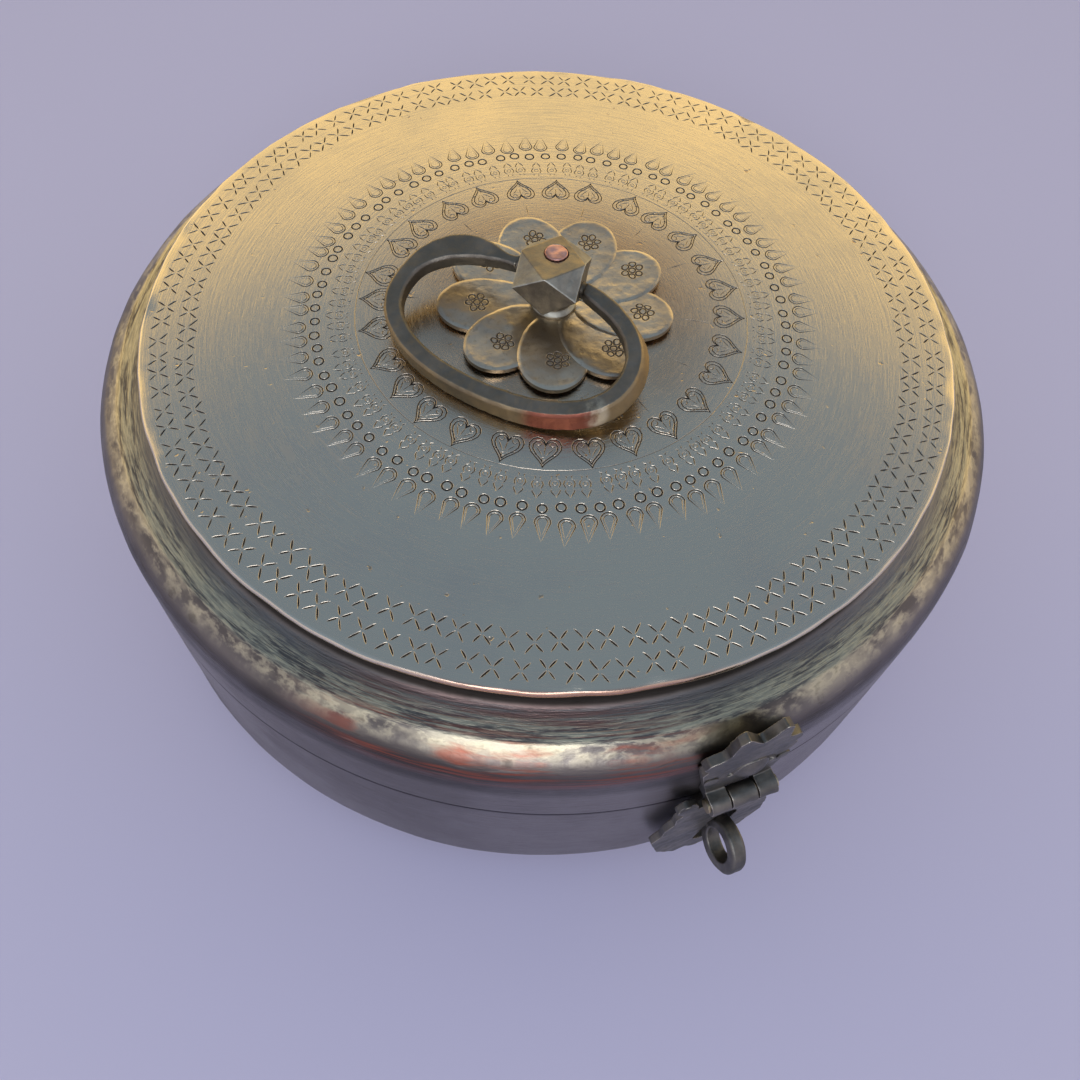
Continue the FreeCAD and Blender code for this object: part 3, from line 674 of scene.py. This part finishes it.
def cutBuds(work):
    count, inner, length = discSettings["buds"]
    strokes = [
        [(0.95, 0.0), (0.50, 0.45), (0.72, 1.05)],
        [(0.55, 1.15), (1.05, 1.55), (1.28, 2.3), (1.02, 3.1), (0.62, 3.5)],
        [(0.70, 3.6), (1.05, 4.1), (0.78, 4.7), (0.42, 5.2), (0.0, 6.0)],
    ]
    for number in range(count):
        angle = 2 * math.pi * (number + jitter(0.16)) / count
        ring = inner + jitter(0.3)
        turn = jitter(0.10)
        for hand in (-1, 1):
            for stroke in strokes:
                path = [(hand * across + jitter(0.05), outward * length / 6.0) for across, outward in stroke]
                work.cut(placed(path, angle, ring, turn), discSettings["groove"] * 0.72)
        work.cut(placed(circlePath(0.55, 9, (0, 2.35)), angle, ring, turn), discSettings["groove"] * 0.45, closed=True)


def heartPath(length, width, shrink, count):
    path = []
    for step in range(count):
        t = 2 * math.pi * step / count
        across = (width / 2 - shrink) * math.sin(t) ** 3
        shape = 13 * math.cos(t) - 5 * math.cos(2 * t) - 2 * math.cos(3 * t) - math.cos(4 * t)
        out = (5.0 - shape) / 22.0
        path.append((across, length * 0.5 + (length - 2 * shrink) * (out - 0.27) * 0.76))
    return path


def cutHearts(work):
    count, inner, length, width = discSettings["hearts"]
    start = math.radians(discSettings["heartStart"])
    for number in range(count):
        angle = start + 2 * math.pi * (number + jitter(0.07)) / count
        ring = inner + jitter(0.3)
        turn = jitter(0.10)
        for shrink, samples in ((0.0, 26), (0.85, 22)):
            path = heartPath(length, width, shrink, samples)
            work.cut(placed(path, angle, ring, turn), discSettings["groove"] * 0.78, closed=True)
        root = length * 0.76
        marks = [circlePath(0.42, 8, (0, root + 0.1))]
        for lean, reach in ((-62, 2.2), (-30, 3.0), (0, 3.1), (30, 3.0), (62, 2.2)):
            across, inward = math.sin(math.radians(lean)), math.cos(math.radians(lean))
            bend = 0.35 * math.copysign(1, lean) if lean else 0.0
            marks.append([(across * (0.8 + reach * t) + bend * t * t, root - inward * (0.8 + reach * t))
                          for t in (0, 0.35, 0.7, 1)])
        for hand in (-1, 1):
            turns = [4.6 - 0.62 * step for step in range(9)]
            marks.append([(hand * (1.75 + (1.0 - 0.09 * step) * math.cos(t)), length * 0.27 + (1.0 - 0.09 * step) * math.sin(t))
                          for step, t in enumerate(turns)])
        for mark in marks:
            work.cut(placed(mark, angle, ring, turn), discSettings["groove"] * 0.56)


def cutRest(work):
    circle = discSettings["innerCircle"]
    for start in range(0, 360, 30):
        path = [Vector((math.cos(math.radians(a)), math.sin(math.radians(a)))) * (circle + jitter(0.05))
                for a in range(start, start + 31, 3)]
        work.cut(path, discSettings["groove"] * 0.45, taper=False)
    for angle in discSettings["ticks"]:
        path = [(jitter(0.1), 0), (0, 3.4), (jitter(0.1), 7.0)]
        work.cut(placed(path, math.radians(angle), 32.0, jitter(0.04)), discSettings["groove"] * 0.6)


def makeDisc():
    s = discSettings
    work = Engraving(s["slope"])
    for cutRing in (cutCrosses, cutLeaves, cutRinglets, cutBuds, cutHearts, cutRest):
        cutRing(work)
    top = s["radius"] - s["edge"]
    outline = circlePath(top, s["outline"])
    filling = [(0, 0)]
    ring = 3.2
    while ring < top - 1.5:
        filling += circlePath(ring + jitter(0.2), max(6, int(2 * math.pi * ring / 3.2)))
        ring += 3.2
    places, faces, cuts, depths = work.sheet(outline, filling)
    bm = bmesh.new()
    grooveOf = bm.verts.layers.float.new("groove")
    isCut = bm.faces.layers.int.new("cut")
    verts = []
    for place, depth in zip(places, depths):
        radius = place.length
        vert = bm.verts.new(Vector((place.x, place.y, domeHeight(radius) - depth)) * mm)
        vert[grooveOf] = min(1.0, depth / (s["groove"] * 0.5 * s["slope"]))
        verts.append(vert)
    for face, cut in zip(faces, cuts):
        made = bm.faces.new([verts[i] for i in face])
        made[isCut] = int(cut)
    rim = [vert for vert in verts if abs(vert.co.xy.length / mm - top) < 1e-3]
    rim.sort(key=lambda vert: math.atan2(vert.co.y, vert.co.x))
    below = domeHeight(top) - s["sheet"]
    section = []
    for step in range(1, 8):
        turn = math.pi * step / 8
        section.append((top + s["edge"] * math.sin(turn), domeHeight(top) - (1 - math.cos(turn)) * s["sheet"] / 2))
    section.append((top, below))
    for radius in (92.0, 80.0, 64.0, 48.0, 32.0, 16.0):
        section.append((radius, domeHeight(radius) - s["sheet"]))
    previous = rim
    for across, height in section:
        row = []
        for vert in rim:
            angle = math.atan2(vert.co.y, vert.co.x)
            wave = unevenness(angle, across, 0, 9.0, 0.35, 2.0) if across > top - 5 else 0.0
            lift = unevenness(angle, across, 0, 6.0, 0.22, 9.0) if across > top else 0.0
            row.append(bm.verts.new(Vector((math.cos(angle) * (across + wave), math.sin(angle) * (across + wave),
                                            height + lift)) * mm))
        for i in range(len(rim)):
            j = (i + 1) % len(rim)
            bm.faces.new([previous[i], row[i], row[j], previous[j]])
        previous = row
    bm.faces.new(previous[::-1])
    bmesh.ops.recalc_face_normals(bm, faces=bm.faces)
    for face in bm.faces:
        face.smooth = True
    mesh = bpy.data.meshes.new("lidDisc")
    bm.to_mesh(mesh)
    bm.free()
    flattenGrooves(mesh, lambda co: Vector((co.x * 2 * s["rise"] / (s["radius"] ** 2 * mm), co.y * 2 * s["rise"]
                                            / (s["radius"] ** 2 * mm), 1.0)).normalized(), (top - 0.1) * mm)
    return addPiece("lidDisc", mesh, "lid", "disc_brass", ["lid_plate"])


def flattenGrooves(mesh, normalAt, reach):
    # the plain sheet gets its own smooth normals and each groove's flank stays flat
    cut = mesh.attributes["cut"].data
    normals = []
    smooth = [vert.normal.copy() for vert in mesh.vertices]
    for polygon in mesh.polygons:
        for index in polygon.vertices:
            co = mesh.vertices[index].co
            if cut[polygon.index].value:
                normals.append(polygon.normal)
            elif polygon.normal.z > 0.5 and co.xy.length < reach:
                normals.append(normalAt(co))
            else:
                normals.append(smooth[index])
    mesh.normals_split_custom_set(normals)


lidDisc = makeDisc()
print("lid disc made:", len(lidDisc.data.polygons), "faces")


# ---- Flower: one petal worked out in geometry nodes and set round the post

class PieceTree(Tree):  # a geometry node tree with named inputs
    def __init__(self, name, inputs):
        self.group = bpy.data.node_groups.new(name, "GeometryNodeTree")
        super().__init__(self.group)
        self.inputs = {}
        for title, (kind, value) in inputs.items():
            socket = self.group.interface.new_socket(title, in_out="INPUT", socket_type="NodeSocket" + kind)
            if kind != "Material":
                socket.default_value = value
            self.inputs[title] = (socket.identifier, value)
        self.group.interface.new_socket("Geometry", in_out="OUTPUT", socket_type="NodeSocketGeometry")
        self.entry = self.nodes.new("NodeGroupInput")

    def given(self, title):
        return Value(self, self.entry.outputs[title])

    def close(self, shape):
        shape = self.add("GeometryNodeRealizeInstances", None, {0: shape})
        shape = self.add("GeometryNodeSetMaterial", None, {0: shape, "Material": self.given("Finish")})
        self.feed(self.nodes.new("NodeGroupOutput").inputs[0], shape)

    def mesh(self, name):  # the tree's result as a plain mesh
        holder = bpy.data.objects.new(name + "Work", bpy.data.meshes.new(name + "Work"))
        bpy.context.scene.collection.objects.link(holder)
        modifier = holder.modifiers.new("tree", "NODES")
        modifier.node_group = self.group
        for identifier, value in self.inputs.values():
            modifier[identifier] = value
        graph = bpy.context.evaluated_depsgraph_get()
        made = bpy.data.meshes.new_from_object(holder.evaluated_get(graph))
        bpy.data.objects.remove(holder)
        made.name = name
        return made


def makeFlower():
    s = flowerSettings
    tree = PieceTree("flowerTree", {
        "Petal Count": ("Int", s["count"]), "First Angle": ("Float", math.radians(s["firstAngle"])),
        "Petal Centre": ("Float", s["petalCentre"]), "Half Length": ("Float", s["halfLength"]),
        "Half Width": ("Float", s["halfWidth"]), "Foot": ("Float", s["foot"]), "Sheet": ("Float", s["sheet"]),
        "Cup": ("Float", s["cup"]), "Overlap Rise": ("Float", s["overlap"]), "Tip": ("Float", s["tip"]),
        "Base Height": ("Float", s["base"]), "Middle": ("Vector", (s["middle"][0] * mm, s["middle"][1] * mm, 0.0)),
        "Finish": ("Material", petalBrass),
    })
    grid = tree.add("GeometryNodeMeshGrid", None, {"Size X": 2.0, "Size Y": 2.0, "Vertices X": 41, "Vertices Y": 35})
    x, y, _ = tree.parts(tree.add("GeometryNodeInputPosition"))
    discX = x * (1.0 - y * y * 0.5) ** 0.5  # the square grid becomes a round one
    discY = y * (1.0 - x * x * 0.5) ** 0.5
    centre, pitch = tree.given("Petal Centre"), 2 * math.pi / tree.given("Petal Count")
    inner = centre - tree.given("Foot")
    forward = discX.maths("GREATER_THAN", discX, 0.0)
    along = centre + discX * (inner + (tree.given("Half Length") - inner) * forward)
    aside = discY * tree.given("Half Width")
    reach = (along * along + aside * aside) ** 0.5
    offset = aside.maths("ARCTAN2", aside, along) / pitch
    share = reach / tree.given("Tip")
    spread = (discX * discX + discY * discY) ** 0.5
    rim = tree.ramp(spread, 0.93, 1.0)
    wave = tree.add("ShaderNodeTexNoise", None, {"Vector": tree.vector(along * 0.3, aside * 0.3, 0.0), "Scale": 1.0})
    height = tree.given("Base Height") + tree.given("Cup") * share * share - tree.given("Overlap Rise") * offset
    height = height - rim * 0.28 + (wave - 0.5) * 0.35 - tree.given("Sheet")
    place = tree.vector(along * mm, aside * mm, height * mm)
    petal = tree.add("GeometryNodeSetPosition", None, {"Geometry": grid, "Position": place})
    # the rim band, for lightening as worn metal and painted highlight
    rimmed = {"Geometry": petal, "Name": "wear", "Value": tree.ramp(spread, 0.90, 0.985) * tree.ramp(along, 15.0, 21.0)}
    petal = tree.add("GeometryNodeStoreNamedAttribute", {"data_type": "FLOAT", "domain": "POINT"}, rimmed)
    thick = tree.add("GeometryNodeExtrudeMesh", {"mode": "FACES"}, {
        "Mesh": petal, "Offset": tree.vector(0.0, 0.0, tree.given("Sheet") * mm), "Individual": False})
    back = tree.add("GeometryNodeFlipFaces", None, {0: petal})
    join = tree.nodes.new("GeometryNodeJoinGeometry")
    for side in (back, thick):
        tree.links.new(side.socket, join.inputs[0])
    closed = tree.add("GeometryNodeMergeByDistance", None, {"Geometry": Value(tree, join.outputs[0]), "Distance": 0.000002})
    turn = tree.add("GeometryNodeInputIndex") * pitch + tree.given("First Angle")
    spots = tree.add("GeometryNodePoints", None, {"Count": tree.given("Petal Count"), "Position": tree.given("Middle")})
    petals = tree.add("GeometryNodeInstanceOnPoints", None, {
        "Points": spots, "Instance": closed, "Rotation": tree.vector(0.0, 0.0, turn)})
    tree.close(petals)
    mesh = tree.mesh("flower")
    for polygon in mesh.polygons:
        polygon.use_smooth = True
    mesh.set_sharp_from_angle(angle=math.radians(50))
    return addPiece("flower", mesh, "lid", "petal_brass", ["rosette"])


makeFlower()
print("flower made")


# ---- Cast and turned pieces: copies of the solids with softened edges, lightened as worn metal and as painted highlight

def softened(name, node, body, slot, voxel, rounds=3, dent=0.0, seed=1.0, middle=(0, 0), look=None):
    source = nodes[node]
    work = bpy.data.objects.new(name + "Work", source.data.copy())
    bpy.context.scene.collection.objects.link(work)
    bm = bmesh.new()
    bm.from_mesh(work.data)
    bmesh.ops.remove_doubles(bm, verts=bm.verts, dist=1e-6)
    bm.to_mesh(work.data)
    bm.free()
    remesh = work.modifiers.new("remesh", "REMESH")
    remesh.mode = "VOXEL"
    remesh.voxel_size = voxel * mm
    remesh.use_smooth_shade = True
    smooth = work.modifiers.new("smooth", "SMOOTH")
    smooth.iterations = rounds
    smooth.factor = 0.5
    graph = bpy.context.evaluated_depsgraph_get()
    mesh = bpy.data.meshes.new_from_object(work.evaluated_get(graph))
    bpy.data.objects.remove(work)
    mesh.name = name
    count = len(mesh.vertices)
    co = np.empty(count * 3)
    mesh.vertices.foreach_get("co", co)
    co = co.reshape(-1, 3)
    normal = np.array([vert.normal[:] for vert in mesh.vertices])
    ends = np.empty(len(mesh.edges) * 2, dtype=int)
    mesh.edges.foreach_get("vertices", ends)
    a, b = ends.reshape(-1, 2).T
    along = co[b] - co[a]
    length = np.linalg.norm(along, axis=1) + 1e-9
    bend = np.zeros(count)
    links = np.zeros(count)
    np.add.at(bend, a, -(along * normal[a]).sum(1) / length)
    np.add.at(bend, b, (along * normal[b]).sum(1) / length)
    np.add.at(links, a, 1)
    np.add.at(links, b, 1)
    bend = bend / np.maximum(links, 1)
    # convex edges marked for lightening as worn metal and painted highlight
    wear = np.clip((bend - 0.05) / 0.22, 0, 1)
    for _ in range(1):  # spreads the lightened edges a little
        total = wear.copy()
        np.add.at(total, a, wear[b])
        np.add.at(total, b, wear[a])
        wear = np.maximum(wear, total / (links + 1))
    if dent:
        moved = []
        for place, facing in zip(co, normal):
            amount = noise.noise(Vector(place) / (2.5 * mm) + Vector((seed, 0, 0))) - 0.5
            moved.extend(Vector(place) + Vector(facing) * (amount * dent * mm))
        mesh.vertices.foreach_set("co", moved)
    carry(mesh, "wear", wear)
    carry(mesh, "facing", np.ascontiguousarray(normal[:, 2]))
    outward = co[:, :2] - np.array(middle) * mm
    outward /= np.linalg.norm(outward, axis=1)[:, None] + 1e-9
    carry(mesh, "outer", (normal[:, :2] * outward).sum(1))
    for polygon in mesh.polygons:
        polygon.use_smooth = True
    mesh.materials.clear()
    return addPiece(name, mesh, body, slot, [node], look)


softened("facetPost", "knob_post", "lid", "cast_brass", 0.16, 3, 0.10, 4.0, (-1.2, -1.0), postBrass)
softened("dropHandle", "ring_handle", "handle", "cast_brass", 0.22, 2, 0.15, 2.0, (-14.0, -10.0), handleBrass)
softened("toothedPlate", "hasp_plate", "lid", "cast_brass", 0.17, 2, 0.15, 6.0)
softened("lobedFlap", "hasp_flap", "hasp", "cast_brass", 0.17, 2, 0.15, 8.0)
softened("stapleRing", "staple_ring", "base", "cast_brass", 0.17, 2, 0.12, 9.0)
softened("copperRivet", "knob_rivet", "lid", "copper_rivet", 0.13, 3, 0.30, 12.0)
print("cast pieces made")


# ---- Floor, light and camera

stageSettings = {
    "floor": (0.60, 0.575, 0.74), "horizon": (1.55, 1.18, 0.62), "around": (0.66, 0.63, 0.72), "above": (0.24, 0.33, 0.47),
    "glowTo": 36.0, "glowAzimuth": 65.2,
}


def makeStage():
    bpy.ops.mesh.primitive_plane_add(size=8.0)
    floor = bpy.context.object
    floor.name = "floor"
    look = Look("paleCloth", Roughness=0.85)
    look.set(Base_Color=stageSettings["floor"])
    floor.data.materials.append(look.material)

    world = bpy.data.worlds.new("softSky")
    bpy.context.scene.world = world
    world.use_nodes = True
    sky = Tree(world.node_tree)
    x, y, z = sky.parts(sky.add("ShaderNodeTexCoord", None, None, 0))
    towards = math.radians(stageSettings["glowAzimuth"])
    behind = sky.ramp(x * math.cos(towards) + y * math.sin(towards), -0.15, 0.65)
    glow = math.sin(math.radians(stageSettings["glowTo"]))
    high = sky.ramp(z, glow - 0.03, glow + 0.05)
    low = sky.blend(stageSettings["around"], stageSettings["horizon"], behind)
    colour = sky.blend(low, stageSettings["above"], high)
    background = world.node_tree.nodes["Background"]
    sky.feed(background.inputs["Color"], colour)
    background.inputs["Strength"].default_value = 1.0


def addLamp(name, place, target, size, power, colour):
    lamp = bpy.data.lights.new(name, "AREA")
    lamp.shape = "DISK"
    lamp.size = size
    lamp.energy = power
    lamp.color = colour
    holder = bpy.data.objects.new(name, lamp)
    holder.location = place
    holder.rotation_euler = (Vector(target) - Vector(place)).to_track_quat("-Z", "Y").to_euler()
    bpy.context.scene.collection.objects.link(holder)


cameraSettings = {
    "place": (-73.57, -159.2, 273.4), "azimuth": 64.67, "pitch": 59.07, "roll": 4.7, "focal": 1000 / 1080 * 36,
}


def makeCamera():
    s = cameraSettings
    azimuth, pitch, roll = (math.radians(s[k]) for k in ("azimuth", "pitch", "roll"))
    forward = Vector((math.cos(azimuth) * math.cos(pitch), math.sin(azimuth) * math.cos(pitch), -math.sin(pitch)))
    right = Vector((math.sin(azimuth), -math.cos(azimuth), 0))
    up = right.cross(forward)
    side = right * math.cos(roll) + up * math.sin(roll)
    top = up * math.cos(roll) - right * math.sin(roll)
    lens = bpy.data.cameras.new("camera")
    lens.lens = s["focal"]
    lens.sensor_width = 36.0
    lens.sensor_fit = "HORIZONTAL"
    lens.clip_start = 0.01
    eye = bpy.data.objects.new("camera", lens)
    turn = Matrix((side, top, -forward)).transposed().to_4x4()
    eye.matrix_world = Matrix.Translation(Vector(s["place"]) * mm) @ turn
    bpy.context.scene.collection.objects.link(eye)
    bpy.context.scene.camera = eye


makeStage()
addLamp("frontFill", (-0.55, -1.1, 1.1), (0, 0, 0.05), 0.9, 9.0, (0.92, 0.92, 1.0))
makeCamera()
bpy.context.scene.view_settings.view_transform = "Standard"
